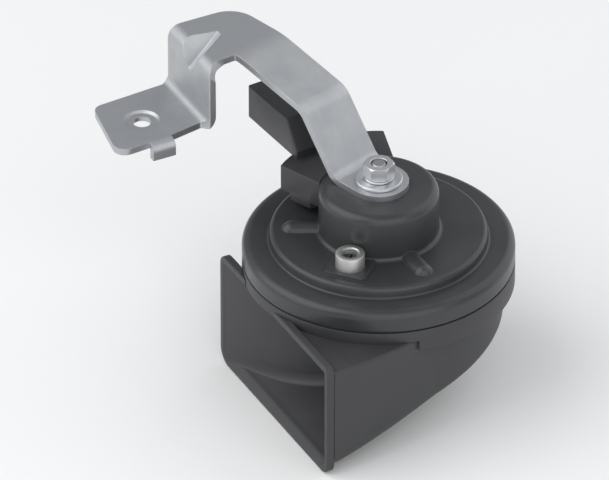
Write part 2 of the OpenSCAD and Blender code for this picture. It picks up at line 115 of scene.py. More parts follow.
# Bracket. One strip of steel, blanked, bent and pierced, then zinc plated; the
# plating is a little cloudy and dulls to grey along its rubbed edges.
def effect(name, ins, outs):
    """A shader group with named sockets, and the two ends to wire it to."""
    group = bpy.data.node_groups.new(name, "ShaderNodeTree")
    for label, value in ins:
        socket = group.interface.new_socket(label, in_out="INPUT", socket_type="NodeSocketFloat")
        socket.default_value = value
    for label, kind in outs:
        group.interface.new_socket(label, in_out="OUTPUT", socket_type="NodeSocket" + kind)
    return group, group.nodes.new("NodeGroupInput"), group.nodes.new("NodeGroupOutput")


def add(tree, kind, **values):
    """A new node with its settings and its sockets' values given by name."""
    node = tree.nodes.new(kind)
    for key, value in values.items():
        if hasattr(node, key):
            setattr(node, key, value)
        else:
            node.inputs[key.replace("_", " ")].default_value = value
    return node


def ramp(tree, source, low, high, a=0.0, b=1.0):
    """The source's span from low to high stretched to run from a to b."""
    node = add(tree, "ShaderNodeMapRange", clamp=True)
    for key, value in (("From Min", low), ("From Max", high), ("To Min", a), ("To Max", b)):
        node.inputs[key].default_value = value
    tree.links.new(source, node.inputs["Value"])
    return node.outputs["Result"]


# Edge wear: how far the surface turns within a small radius, broken by noise.
wear_group, wear_in, wear_out = effect(
    "edge_wear", (("Width", 0.0006), ("Breakup", 400.0), ("Amount", 1.0)), (("Mask", "Float"),))
wear_bevel = wear_group.nodes.new("ShaderNodeBevel")
wear_bevel.samples = 6
wear_geo = wear_group.nodes.new("ShaderNodeNewGeometry")
wear_dot = add(wear_group, "ShaderNodeVectorMath", operation="DOT_PRODUCT")
wear_coord = wear_group.nodes.new("ShaderNodeTexCoord")
wear_noise = add(wear_group, "ShaderNodeTexNoise", Detail=4.0)
wear_mix = add(wear_group, "ShaderNodeMath", operation="MULTIPLY")
wear_scale = add(wear_group, "ShaderNodeMath", operation="MULTIPLY", use_clamp=True)
links = wear_group.links
links.new(wear_in.outputs["Width"], wear_bevel.inputs["Radius"])
links.new(wear_bevel.outputs["Normal"], wear_dot.inputs[0])
links.new(wear_geo.outputs["Normal"], wear_dot.inputs[1])
links.new(wear_coord.outputs["Object"], wear_noise.inputs["Vector"])
links.new(wear_in.outputs["Breakup"], wear_noise.inputs["Scale"])
links.new(ramp(wear_group, wear_dot.outputs["Value"], 0.995, 0.8), wear_mix.inputs[0])
links.new(ramp(wear_group, wear_noise.outputs["Fac"], 0.42, 0.62), wear_mix.inputs[1])
links.new(wear_mix.outputs["Value"], wear_scale.inputs[0])
links.new(wear_in.outputs["Amount"], wear_scale.inputs[1])
links.new(wear_scale.outputs["Value"], wear_out.inputs["Mask"])

# Clouding: slow changes over the surface, for plating, paint and dust.
cloud_group, cloud_in, cloud_out = effect(
    "clouding", (("Scale", 40.0), ("Low", 0.35), ("High", 0.65)), (("Mask", "Float"),))
cloud_coord = cloud_group.nodes.new("ShaderNodeTexCoord")
cloud_noise = add(cloud_group, "ShaderNodeTexNoise", Detail=6.0, Roughness=0.6)
cloud_map = add(cloud_group, "ShaderNodeMapRange", clamp=True)
links = cloud_group.links
links.new(cloud_coord.outputs["Object"], cloud_noise.inputs["Vector"])
links.new(cloud_in.outputs["Scale"], cloud_noise.inputs["Scale"])
links.new(cloud_noise.outputs["Fac"], cloud_map.inputs["Value"])
links.new(cloud_in.outputs["Low"], cloud_map.inputs["From Min"])
links.new(cloud_in.outputs["High"], cloud_map.inputs["From Max"])
links.new(cloud_map.outputs["Result"], cloud_out.inputs["Mask"])

# Surface: edges rounded off by a small radius, under the fine relief of
# moulded plastic, dipped paint or plated steel.
skin_group, skin_in, skin_out = effect(
    "surface", (("Edge Radius", 0.0003), ("Scale", 2500.0), ("Coarse", 600.0),
                ("Relief", 0.1), ("Depth", 0.00005)), (("Normal", "Vector"),))
skin_coord = skin_group.nodes.new("ShaderNodeTexCoord")
skin_fine = add(skin_group, "ShaderNodeTexNoise", Detail=3.0)
skin_coarse = add(skin_group, "ShaderNodeTexNoise", Detail=2.0)
skin_sum = add(skin_group, "ShaderNodeMath", operation="ADD")
skin_edges = add(skin_group, "ShaderNodeBevel", samples=6)
skin_bump = skin_group.nodes.new("ShaderNodeBump")
links = skin_group.links
for noise, key in ((skin_fine, "Scale"), (skin_coarse, "Coarse")):
    links.new(skin_coord.outputs["Object"], noise.inputs["Vector"])
    links.new(skin_in.outputs[key], noise.inputs["Scale"])
links.new(skin_fine.outputs["Fac"], skin_sum.inputs[0])
links.new(skin_coarse.outputs["Fac"], skin_sum.inputs[1])
links.new(skin_in.outputs["Edge Radius"], skin_edges.inputs["Radius"])
links.new(skin_edges.outputs["Normal"], skin_bump.inputs["Normal"])
links.new(skin_in.outputs["Relief"], skin_bump.inputs["Strength"])
links.new(skin_in.outputs["Depth"], skin_bump.inputs["Distance"])
links.new(skin_sum.outputs["Value"], skin_bump.inputs["Height"])
links.new(skin_bump.outputs["Normal"], skin_out.inputs["Normal"])


def use_group(tree, group, **values):
    """One of the groups above placed in a material, its sockets set by name."""
    node = tree.nodes.new("ShaderNodeGroup")
    node.node_tree = group
    for key, value in values.items():
        node.inputs[key.replace("_", " ")].default_value = value
    return node


# The Mix node keeps its numbers and its colours on sockets of their own.
number_a, number_b, color_a, color_b = 2, 3, 6, 7
number_out, color_out = 0, 2


def finish(name, color, cloud_color, worn_color, rough, rough_worn, metallic,
           cloud=60.0, wear=1.0, width=0.0006, grain=2500.0, bump=0.02, edge=0.0003):
    """A material of one colour, clouded by a second and worn to a third."""
    material = bpy.data.materials.new(name)
    material.use_nodes = True
    tree = material.node_tree
    shader = tree.nodes["Principled BSDF"]
    shader.inputs["Metallic"].default_value = metallic
    clouds = use_group(tree, cloud_group, Scale=cloud)
    worn = use_group(tree, wear_group, Width=width, Amount=wear)
    skin = use_group(tree, skin_group, Scale=grain, Coarse=grain / 5, Relief=bump,
                     Edge_Radius=edge)
    first = add(tree, "ShaderNodeMix", data_type="RGBA")
    second = add(tree, "ShaderNodeMix", data_type="RGBA")
    first.inputs[color_a].default_value = (*color, 1)
    first.inputs[color_b].default_value = (*cloud_color, 1)
    second.inputs[color_b].default_value = (*worn_color, 1)
    tree.links.new(clouds.outputs["Mask"], first.inputs[0])
    tree.links.new(first.outputs[color_out], second.inputs[color_a])
    tree.links.new(worn.outputs["Mask"], second.inputs[0])
    tree.links.new(second.outputs[color_out], shader.inputs["Base Color"])
    cloudy_rough = ramp(tree, clouds.outputs["Mask"], 0, 1, rough, rough * 1.25)
    mix_rough = add(tree, "ShaderNodeMix", data_type="FLOAT")
    mix_rough.inputs[number_b].default_value = rough_worn
    tree.links.new(worn.outputs["Mask"], mix_rough.inputs[0])
    tree.links.new(cloudy_rough, mix_rough.inputs[number_a])
    tree.links.new(mix_rough.outputs[number_out], shader.inputs["Roughness"])
    tree.links.new(skin.outputs["Normal"], shader.inputs["Normal"])
    return material


def dress(node, material):
    """Put a material in every slot of a CAD node, which keeps its own shape."""
    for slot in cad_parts[node].material_slots:
        slot.material = material


zinc = finish("plated_strip", (0.52, 0.53, 0.54), (0.45, 0.462, 0.475), (0.36, 0.36, 0.35),
              0.4, 0.5, 1.0, cloud=70, wear=0.7, bump=0.12, grain=1500, edge=0.0004)
dress("mounting_bracket", zinc)

# Fasteners on the stud. A pressed washer, a split spring washer and a nut with
# turned corners, bright zinc plated, hold the bracket down on the case.
bright_zinc = finish("bright_zinc", (0.66, 0.67, 0.68), (0.57, 0.58, 0.6), (0.45, 0.45, 0.45),
                     0.3, 0.42, 1.0, cloud=120, wear=0.3, width=0.0002, bump=0.04, grain=1800,
                     edge=0.00015)
for node in ("armature_washer", "armature_nut", "contact_rivets", "connector_rivets"):
    dress(node, bright_zinc)
horn_axis = Vector((0.0665, 0.0616, -0.0276))


def turned(work, profile, centre=(0, 0), first=0.0, steps=96):
    """A ring closed round a centre; the profile may change with the angle."""
    rings = []
    for i in range(steps):
        angle = math.radians(first) + math.tau * i / steps
        rings.append([work.verts.new((centre[0] + r * math.cos(angle),
                                      centre[1] + r * math.sin(angle), z))
                      for r, z in profile(angle)])
    for i in range(steps):
        for k in range(len(rings[0])):
            work.faces.new((rings[i - 1][k - 1], rings[i][k - 1], rings[i][k], rings[i - 1][k]))


def solid(work, name, material):
    """An object of what was drawn, merged and with its faces outward."""
    bmesh.ops.remove_doubles(work, verts=work.verts, dist=0.0005)
    bmesh.ops.dissolve_degenerate(work, edges=work.edges, dist=0.0005)
    bmesh.ops.recalc_face_normals(work, faces=work.faces)
    mesh = bpy.data.meshes.new(name)
    work.to_mesh(mesh)
    work.free()
    mesh.materials.clear()
    mesh.materials.append(material)
    piece = bpy.data.objects.new(name, mesh)
    scene.collection.objects.link(piece)
    return piece


def put_on(piece, slot, *nodes, crease=30, body="horn"):
    """Set a piece drawn in millimetres about the horn's axis in its place."""
    piece.data.transform(Matrix.Translation(horn_axis) @ Matrix.Scale(0.001, 4))
    piece.data.shade_smooth()
    piece.data.set_sharp_from_angle(angle=math.radians(crease))
    if body:
        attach(piece, body)
    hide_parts(*nodes)


strap_top = 24.7
washer_top = strap_top + 1.2
spring_top = washer_top + 1.0
nut_top = spring_top + 5.2
half_flats = 5
flat_turn = 2.5
wire_steps = 72

work = bmesh.new()
turned(work, lambda angle: [(3.25, strap_top), (8.35, strap_top), (8.6, strap_top + 0.2),
                            (8.6, washer_top - 0.4), (8.52, washer_top - 0.15),
                            (8.3, washer_top), (3.6, washer_top), (3.34, washer_top - 0.12),
                            (3.25, washer_top - 0.35)])
put_on(solid(work, "washer_under_nut", bright_zinc), "zinc_plate", "plain_washer")

# The spring washer is one turn of flat wire with its ends a little apart.
work = bmesh.new()
wire = []
for i in range(wire_steps + 1):
    angle = math.radians(208 + 344 * i / wire_steps)
    low = washer_top + 0.12 * i / wire_steps
    wire.append([work.verts.new((r * math.cos(angle), r * math.sin(angle), z))
                 for r, z in ((3.25, low), (5.25, low), (5.4, low + 0.15), (5.4, low + 0.73),
                              (5.25, low + 0.88), (3.25, low + 0.82))])
for before, after in zip(wire, wire[1:]):
    for k in range(len(before)):
        work.faces.new((before[k - 1], after[k - 1], after[k], before[k]))
work.faces.new(wire[0])
work.faces.new(wire[-1])
put_on(solid(work, "split_spring_washer", bright_zinc), "zinc_plate", "spring_washer")


def nut_profile(angle):
    """Across one corner of the nut: countersunk bore, flats and turned corners."""
    off_flat = (math.degrees(angle) - flat_turn) % 60 - 30
    flat = half_flats / math.cos(math.radians(off_flat))
    face = min(flat, half_flats + 0.07)
    drop = (flat - face) * 0.714
    return [(3.0, spring_top + 0.3), (3.25, spring_top), (face, spring_top),
            (flat, spring_top + drop), (flat, nut_top - drop), (face, nut_top),
            (3.15, nut_top), (3.0, nut_top - 0.15)]


work = bmesh.new()
turned(work, nut_profile, first=flat_turn)
put_on(solid(work, "hex_nut", bright_zinc), "zinc_plate", "bracket_nut", crease=20)

# Case. A deep-drawn steel shell, dip coated in black, its rim rolled over the
# moulded plate; the coat wears thin on the ribs and the rim.
case_coat = finish("case_coat", (0.03, 0.031, 0.033), (0.038, 0.039, 0.041), (0.13, 0.13, 0.13),
                   0.28, 0.4, 0.0, cloud=45, wear=0.45, bump=0.12, grain=1200, edge=0.0005)
dress("horn_case", case_coat)

# Adjuster. A turned steel collar riveted into the plateau, threaded inside for
# the slotted screw that sets the contacts; it stands in the open beside the cup.
boss_out = 27.7
boss_turn = -49.5
boss = (boss_out * math.cos(math.radians(boss_turn)), boss_out * math.sin(math.radians(boss_turn)))
turned_zinc = finish("turned_zinc", (0.6, 0.6, 0.58), (0.52, 0.52, 0.51), (0.42, 0.42, 0.41),
                     0.4, 0.48, 1.0, cloud=90, wear=0.3, width=0.0002, bump=0.04, grain=1800,
                     edge=0.0002)
black_oxide = finish("black_oxide", (0.09, 0.09, 0.095), (0.12, 0.12, 0.125), (0.2, 0.2, 0.2),
                     0.45, 0.5, 1.0, cloud=150, wear=0.4, width=0.0002, bump=0.05, edge=0.0001)
thread_pitch = 0.8


def collar_profile(angle):
    """Round flanks outside; the bore carries a thread above the screw."""
    bore = []
    for k in range(27):
        z = 10.3 - 0.1 * k
        phase = (z / thread_pitch - angle / math.tau) % 1
        bore.append((2.85 + 0.15 * (1 - abs(2 * phase - 1)), z))
    return [(2.85, 3.4), (4.1, 3.4), (4.1, 5.0), (5.3, 5.0), (5.3, 10.2), (5.18, 10.48),
            (4.9, 10.6), (3.45, 10.6)] + bore


work = bmesh.new()
turned(work, collar_profile, centre=boss, steps=72)
put_on(solid(work, "threaded_collar", turned_zinc), "zinc_plate", "adjusting_collar")


def prism(name, outline, low, high, axis="z", material=None):
    """A closed prism of the outline, along y or z."""
    work = bmesh.new()
    ends = []
    for level in (low, high):
        ring = [work.verts.new((p[0], level, p[1]) if axis == "y" else (p[0], p[1], level))
                for p in outline]
        ends.append(ring)
        work.faces.new(ring)
    for i in range(len(outline)):
        work.faces.new((ends[0][i - 1], ends[0][i], ends[1][i], ends[1][i - 1]))
    return solid(work, name, material)


def settle(piece):
    """Make what the piece's modifiers show its own mesh."""
    mesh = bpy.data.meshes.new_from_object(
        piece.evaluated_get(bpy.context.evaluated_depsgraph_get()))
    piece.modifiers.clear()
    piece.data = mesh


def cut(target, operation, *tools):
    """Join, cut or cross the target with each tool; the tools then go."""
    for tool in tools:
        joint = target.modifiers.new(tool.name, "BOOLEAN")
        joint.operation = operation
        joint.object = tool
        joint.solver = "MANIFOLD"
    settle(target)
    for tool in tools:
        bpy.data.objects.remove(tool)


def around(centre, points, turn_by):
    """Points turned about a centre by so many degrees."""
    c, s = math.cos(math.radians(turn_by)), math.sin(math.radians(turn_by))
    return [(centre[0] + c * x - s * y, centre[1] + s * x + c * y) for x, y in points]


work = bmesh.new()
turned(work, lambda angle: [(0, 1.1), (0.9, 1.1), (1.2, 1.4), (1.2, 2.5), (2.85, 2.5),
                            (2.85, 8.1), (2.55, 8.4), (0, 8.4)], centre=boss, steps=72)
screw = solid(work, "slotted_screw", black_oxide)
cut(screw, "DIFFERENCE", prism("slot", around(boss, [(-4, -0.4), (4, -0.4), (4, 0.4), (-4, 0.4)],
                                              boss_turn), 7.2, 9, material=black_oxide))
put_on(screw, "zinc_plate", "adjusting_screw")

# Core and armature. Turned soft steel, bare but for oil.
turned_steel = finish("turned_steel", (0.42, 0.42, 0.43), (0.34, 0.34, 0.36), (0.55, 0.55, 0.55),
                      0.35, 0.3, 1.0, cloud=150, bump=0.2)
for node in ("pole_core", "armature"):
    dress(node, turned_steel)

# Diaphragm. A disc of thin spring steel, blued a little by its heat treatment
# and pressed into two soft waves. Its rim is clamped between the gaskets while
# its middle goes up and down with the armature.
spring_steel = finish("blued_spring", (0.42, 0.44, 0.5), (0.5, 0.47, 0.42), (0.6, 0.6, 0.6),
                      0.28, 0.3, 1.0, cloud=30, bump=0.1)
rim_top = -2.0
crown = -0.4
sheet = 0.4
waves = [(2.5, crown), (13.5, crown), (20, -1.25), (26, -0.75), (33.5, rim_top), (47.7, rim_top)]


def sheet_height(r):
    """The disc's upper face, easing from one wave to the next."""
    for (near, high), (far, low) in zip(waves, waves[1:]):
        if r <= far:
            t = (r - near) / (far - near)
            return high + (low - high) * t * t * (3 - 2 * t)
    return rim_top


bore_r, clamp_r, disc_steps = 2.5, 47.7, 56
radii = [bore_r + (clamp_r - bore_r) * k / disc_steps for k in range(disc_steps + 1)]
upper = [(r, sheet_height(r)) for r in radii]
work = bmesh.new()
turned(work, lambda angle: upper + [(r, z - sheet) for r, z in reversed(upper)], steps=120)
disc = solid(work, "waved_disc", spring_steel)
put_on(disc, "spring_steel", "diaphragm", body=None)
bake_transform(disc)

# Coil. Enamelled copper wire wound on a natural nylon bobbin.
nylon = finish("nylon", (0.6, 0.55, 0.42), (0.66, 0.61, 0.5), (0.7, 0.66, 0.56),
               0.5, 0.55, 0.0, bump=0.1)
copper = finish("enamelled_copper", (0.42, 0.14, 0.045), (0.5, 0.18, 0.06), (0.55, 0.22, 0.1),
                0.3, 0.35, 1.0, cloud=120, bump=0.2)
dress("coil_bobbin", nylon)

# The outer layer of the winding is one wire laid turn beside turn.
coil_tree = bpy.data.node_groups.new("coil_turns", "GeometryNodeTree")
for label, value in (("Radius", 17.2), ("Wire", 0.5), ("Turns", 14.0), ("Height", 11.9)):
    coil_tree.interface.new_socket(label, in_out="INPUT",
                                   socket_type="NodeSocketFloat").default_value = value
coil_tree.interface.new_socket("Material", in_out="INPUT", socket_type="NodeSocketMaterial")
coil_tree.interface.new_socket("Coil", in_out="OUTPUT", socket_type="NodeSocketGeometry")
coil_in = coil_tree.nodes.new("NodeGroupInput")
helix = add(coil_tree, "GeometryNodeCurveSpiral", Resolution=64)
section = add(coil_tree, "GeometryNodeCurvePrimitiveCircle", Resolution=8)
tube = add(coil_tree, "GeometryNodeCurveToMesh", Fill_Caps=True)
realize = coil_tree.nodes.new("GeometryNodeRealizeInstances")
set_finish = coil_tree.nodes.new("GeometryNodeSetMaterial")
coil_out = coil_tree.nodes.new("NodeGroupOutput")
links = coil_tree.links
for source, target in ((coil_in.outputs["Turns"], helix.inputs["Rotations"]),
                       (coil_in.outputs["Radius"], helix.inputs["Start Radius"]),
                       (coil_in.outputs["Radius"], helix.inputs["End Radius"]),
                       (coil_in.outputs["Height"], helix.inputs["Height"]),
                       (coil_in.outputs["Wire"], section.inputs["Radius"]),
                       (helix.outputs[0], tube.inputs["Curve"]),
                       (section.outputs[0], tube.inputs["Profile Curve"]),
                       (tube.outputs[0], realize.inputs[0]),
                       (realize.outputs[0], set_finish.inputs["Geometry"]),
                       (coil_in.outputs["Material"], set_finish.inputs["Material"]),
                       (set_finish.outputs[0], coil_out.inputs["Coil"])):
    links.new(source, target)


def grown(name, tree, **values):
    """What a node tree makes from its named sizes, as a mesh to work on."""
    seed = bpy.data.objects.new(name + "_seed", bpy.data.meshes.new(name + "_seed"))
    scene.collection.objects.link(seed)
    nodes = seed.modifiers.new("nodes", "NODES")
    nodes.node_group = tree
    for item in tree.interface.items_tree:
        if item.in_out == "INPUT" and item.name.replace(" ", "_") in values:
            nodes[item.identifier] = values[item.name.replace(" ", "_")]
    mesh = bpy.data.meshes.new_from_object(
        seed.evaluated_get(bpy.context.evaluated_depsgraph_get()))
    bpy.data.objects.remove(seed)
    work = bmesh.new()
    work.from_mesh(mesh)
    return work


coil_low = 6.7
coil_top = coil_low + 12.9
coil_in_r, coil_out_r, wire_r = 9.0, 17.0, 0.5
work = grown("coil", coil_tree, Material=copper)
bmesh.ops.translate(work, verts=work.verts, vec=(0, 0, coil_low + wire_r))
turned(work, lambda angle: [(coil_in_r, coil_low), (coil_out_r, coil_low),
                            (coil_out_r, coil_top), (coil_in_r, coil_top)])
put_on(solid(work, "wound_coil", copper), "winding", "coil_winding")

# Contact set. Bronze leaves between phenolic sheets under the plateau.
bronze = finish("bronze", (0.55, 0.36, 0.14), (0.48, 0.3, 0.12), (0.65, 0.48, 0.25),
                0.3, 0.35, 1.0, cloud=150, bump=0.15)
phenolic = finish("phenolic", (0.13, 0.05, 0.02), (0.17, 0.07, 0.03), (0.2, 0.1, 0.05),
                  0.45, 0.5, 0.0, bump=0.3)
ceramic = finish("ceramic", (0.6, 0.54, 0.4), (0.66, 0.6, 0.46), (0.7, 0.66, 0.55),
                 0.7, 0.7, 0.0, bump=0.3)
for node in ("fixed_contact_arm", "moving_contact_arm"):
    dress(node, bronze)
dress("contact_insulators", phenolic)
dress("resistor", ceramic)

# Gaskets. Pressed fibre faced with rubber, one on each side of the diaphragm.
gasket_rubber = finish("gasket_rubber", (0.02, 0.02, 0.02), (0.03, 0.03, 0.03),
                       (0.05, 0.05, 0.05), 0.7, 0.75, 0.0, bump=0.4)
for node in ("upper_gasket", "lower_gasket"):
    dress(node, gasket_rubber)

# Connector. A moulded nylon block on the plateau with a socket box behind it,
# riveted down; two tinned blades stand inside the socket.
dark_nylon = finish("dark_nylon", (0.03, 0.03, 0.032), (0.038, 0.038, 0.041),
                    (0.09, 0.09, 0.09), 0.42, 0.5, 0.0, cloud=80, wear=0.5, bump=0.4)
tinned = finish("tinned_brass", (0.65, 0.64, 0.6), (0.58, 0.56, 0.5), (0.6, 0.5, 0.3),
                0.3, 0.35, 1.0, cloud=200, bump=0.1)
conn_turn = 184.5


def round_off(piece, width):
    """Round the piece's sharp edges once it is next cut or settled."""
    edges = piece.modifiers.new("edges", "BEVEL")
    edges.width = width
    edges.segments = 3
    edges.limit_method = "ANGLE"
    edges.angle_limit = math.radians(35)


def moulded(name, outline, low, high, axis="z", edge=0.5):
    """A prism of nylon whose outer edges are rounded as a mould leaves them."""
    piece = prism(name, outline, low, high, axis, dark_nylon)
    round_off(piece, edge)
    return piece


def circle(x, y, radius, steps=96):
    """Outline of a circle, counted round from +X."""
    angles = [math.tau * i / steps for i in range(steps)]
    return [(x + radius * math.cos(a), y + radius * math.sin(a)) for a in angles]


def box_outline(low_x, high_x, low_y, high_y):
    """Outline of an upright rectangle."""
    return [(low_x, low_y), (high_x, low_y), (high_x, high_y), (low_x, high_y)]


# Its block hugs the cup between two slanted ends.
block_low, block_top, block_r, cup_side_r = 9.6, 20.2, 38.8, 21.75
housing = prism("housing", circle(0, 0, block_r, 192), block_low, block_top, material=dark_nylon)
cut(housing, "INTERSECT", prism("ends", [(10, -14), (34, -23), (44, -23), (44, 22), (34, 22),
                                         (10, 14)], 9, 21, material=dark_nylon))
cut(housing, "DIFFERENCE", prism("cup_side", circle(0, 0, cup_side_r, 128), 9, 21,
                                 material=dark_nylon))
round_off(housing, 0.6)

# The socket is a box with a slanted front, hollow from behind, with a ramp on
# top that the plug's latch snaps over.
socket_top, socket_end, socket_sides, socket_wall = 34, 65.5, (-7.4, 14.6), 1.8
socket = prism("socket", [(32.3, 19.2), (32.3, 23.4), (39.5, socket_top),
                          (socket_end, socket_top), (socket_end, block_top), (35, block_top),
                          (35, 19.2)], *socket_sides, "y", dark_nylon)
cut(socket, "DIFFERENCE", prism("cavity", box_outline(42, socket_end + 1.5,
                                                      block_top + socket_wall,
                                                      socket_top - socket_wall),
                                socket_sides[0] + socket_wall, socket_sides[1] - socket_wall,
                                "y", dark_nylon))
round_off(socket, 0.5)
ramp_on_top = moulded("latch_ramp", [(55.5, 33.5), (59.5, 35.2), (60.5, 35.2), (60.5, 33.5)],
                      0.4, 6.8, "y", 0.25)
keys = [moulded("key_" + side, box_outline(42.5, 64.5, 21.5, 23), low, low + 1.4, "y", 0.2)
        for side, low in (("left", -3.2), ("right", 9.2))]
cut(housing, "UNION", socket, ramp_on_top, *keys,
    moulded("foot", box_outline(26.8, 33.2, -9, 15), 4, 10.6),
    moulded("corner_tab", [(19.3, 17.1), (27.9, 20.1), (27.1, 17.6), (18.5, 14.6)], 7.1, 11.1,
            edge=0.3),
    moulded("lead_guide", box_outline(26.8, 33.2, -2.2, 9.4), 1.6, 5, edge=0.3))
housing.data.transform(Matrix.Rotation(math.radians(conn_turn), 4, "Z"))
put_on(housing, "connector_plastic", "connector_housing", crease=28)

# Each terminal is one folded strip whose blade narrows at its tip and carries
# a small locating hole.
blades = []
half_blade, half_tip = 1.6, 0.8
for name, v in (("blade_a", 0.4), ("blade_b", 6.8)):
    blade = prism(name, [(29.4, 0.6), (30.6, 0.6), (30.6, 15.4), (37.2, 15.4), (37.2, 26.3),
                         (59, 26.3), (59, 27.1), (36, 27.1), (36, 16.2), (29.4, 16.2)],
                  v - half_blade, v + half_blade, "y", tinned)
    plan = [(20, v - half_blade), (57.2, v - half_blade), (59, v - half_tip),
            (59, v + half_tip), (57.2, v + half_blade), (20, v + half_blade)]
    cut(blade, "INTERSECT", prism(name + "_plan", plan, 0, 30, material=tinned))
    cut(blade, "DIFFERENCE", prism(name + "_hole", circle(53, v, 0.6, 24), 25, 28, material=tinned))
    blades.append(blade)
terminals = blades[0]
terminals.name = "terminals"
cut(terminals, "UNION", blades[1])
round_off(terminals, 0.15)
settle(terminals)
terminals.data.transform(Matrix.Rotation(math.radians(conn_turn), 4, "Z"))
put_on(terminals, "terminal_tin", "terminal_pins")

# Chamber plate. A thick disc moulded in black glass-filled plastic, hollowed
# under the diaphragm and pierced by the throat; its broken skirt goes round the
# trumpet and the case's rim is rolled over its shoulder.
trumpet_black = finish("trumpet_black", (0.035, 0.035, 0.037), (0.043, 0.043, 0.045),
                       (0.1, 0.1, 0.1), 0.44, 0.55, 0.0, cloud=35, wear=0.45,
                       bump=0.3, grain=1500, edge=0.0003)
throat_at = (9.8, -5.5)
throat_r = 5
plate_low, plate_top, chamber_floor = -13, -3.2, -7.8
rim_r, rim_low = 49.3, -8.6
skirt_in, skirt_low = 45.5, -17.3


def sector(first, turn_by, inner, outer):
    """Outline of a piece of a ring, by angles in degrees."""
    steps = [math.radians(first + turn_by * i / 36) for i in range(37)]
    return [(outer * math.cos(a), outer * math.sin(a)) for a in steps] \
        + [(inner * math.cos(a), inner * math.sin(a)) for a in reversed(steps)]


work = bmesh.new()
turned(work, lambda angle: [(0, plate_low), (skirt_in, plate_low), (skirt_in, skirt_low),
                            (rim_r, skirt_low), (rim_r, rim_low), (46.8, rim_low), (46.8, -7.6),
                            (clamp_r, -7.2), (clamp_r, plate_top), (41.3, plate_top),
                            (38.7, chamber_floor), (0, chamber_floor)], steps=180)
plate = solid(work, "moulded_plate", trumpet_black)
gap_low, gap_top = skirt_low - 1, plate_low + 0.01
cut(plate, "DIFFERENCE",
    prism("throat_hole", circle(*throat_at, throat_r), -14, -7, material=trumpet_black),
    prism("mouth_gap", sector(223, 126.4, 45, rim_r + 1), gap_low, gap_top,
          material=trumpet_black),
    prism("side_gap", sector(-11.6, 14.6, 45, rim_r - 0.7), gap_low, gap_top,
          material=trumpet_black))
round_off(plate, 0.3)
settle(plate)
put_on(plate, "trumpet_plastic", "chamber_plate", crease=28)

# Trumpet. The snail is one moulding in the same plastic: a duct of even wall
# that winds out from the throat and opens into a flared mouth with a flat
# flange. Its duct is swept by rule and it is welded under the plate.


class Term:
    """A value inside the duct's node tree that takes plain arithmetic."""

    def __init__(self, socket):
        self.socket = socket

    def __add__(self, other):
        return calc("ADD", self, other)

    def __sub__(self, other):
        return calc("SUBTRACT", self, other)

    def __mul__(self, other):
        return calc("MULTIPLY", self, other)

    def __pow__(self, other):
        return calc("POWER", self, other)

    def __rsub__(self, other):
        return calc("SUBTRACT", other, self)

    __radd__ = __add__
    __rmul__ = __mul__


def calc(operation, *values):
    """A Math node of the duct's tree fed by Terms and plain numbers."""
    node = duct_tree.nodes.new("ShaderNodeMath")
    node.operation = operation
    for socket, value in zip(node.inputs, values):
        if isinstance(value, Term):
            duct_tree.links.new(value.socket, socket)
        else:
            socket.default_value = value
    return Term(node.outputs[0])


def clamped(value):
    """Held between 0 and 1."""
    return calc("MINIMUM", calc("MAXIMUM", value, 0), 1)


def eased(value):
    """From 0 to 1 with a level start and end."""
    near = clamped(value)
    return near * near * (3 - 2 * near)


# The duct's tree, in millimetres about the horn's own axis. Rows 0 to 10 are
# the bell, 10 to 40 the straight mouth and 40 to 160 one turn of the spiral.
duct_tree = bpy.data.node_groups.new("duct_sweep", "GeometryNodeTree")
for label, value in (("Growth", 0.0), ("Bell", 0.0), ("Body Radius", 45.2), ("Wall", 2.2),
                     ("Inner Radius", 21.5), ("Mouth Distance", 48.2), ("Flange Thickness", 3.1),
                     ("Roof", -15.2)):
    duct_tree.interface.new_socket(label, in_out="INPUT",
                                   socket_type="NodeSocketFloat").default_value = value
duct_tree.interface.new_socket("Material", in_out="INPUT", socket_type="NodeSocketMaterial")
duct_tree.interface.new_socket("Duct", in_out="OUTPUT", socket_type="NodeSocketGeometry")
duct_in = duct_tree.nodes.new("NodeGroupInput")
growth, bell, body_r, wall, inner_r, mouth_y, flange_t, roof = (
    Term(duct_in.outputs[i]) for i in range(8))
bell_rows, mouth_rows, rows = 10, 40, 161
row_degrees = 360 / (rows - 1 - mouth_rows)
round_steps = 56
grid = add(duct_tree, "GeometryNodeMeshGrid", Size_X=1.0, Size_Y=1.0, Vertices_X=rows,
           Vertices_Y=round_steps + 1)
spot = duct_tree.nodes.new("GeometryNodeInputPosition")
split = duct_tree.nodes.new("ShaderNodeSeparateXYZ")
duct_tree.links.new(spot.outputs[0], split.inputs[0])
row = (Term(split.outputs[0]) + 0.5) * (rows - 1)
turn = (Term(split.outputs[1]) + (0.5 + 0.5 / round_steps)) * math.tau

# Mouth: its inner wall sweeps across to the flange's far edge, its outer wall
# flares a little, and its floor drops towards the front.
back_y = flange_t - mouth_y
slow_sweep, late_sweep = 34.6, 16.4
flare_by, floor_slope, front_floor = 7.1, 0.256, -55
opening_side, opening_top, opening_floor = 50.3, -12.8, -55.3
bell_y = back_y - bell * (1 - clamped(row * (1 / bell_rows))) * (flange_t + 1)
y = bell_y * (1 - clamped((row - bell_rows) * (1 / (mouth_rows - bell_rows))))
t = calc("MINIMUM", calc("DIVIDE", 0 - y, mouth_y), 1)
steep = calc("DIVIDE", 2 * slow_sweep * t + 7 * late_sweep * t ** 6, mouth_y)
inner_x = inner_r - slow_sweep * t * t - late_sweep * t ** 7 \
    - growth * calc("SQRT", steep * steep + 1)
flare_y = calc("MAXIMUM", y, back_y)
flare = flare_by * calc("SINE", clamped(calc("DIVIDE", 0 - flare_y, mouth_y - 3)) * (math.pi / 2))
outer_x = body_r - wall + flare + growth
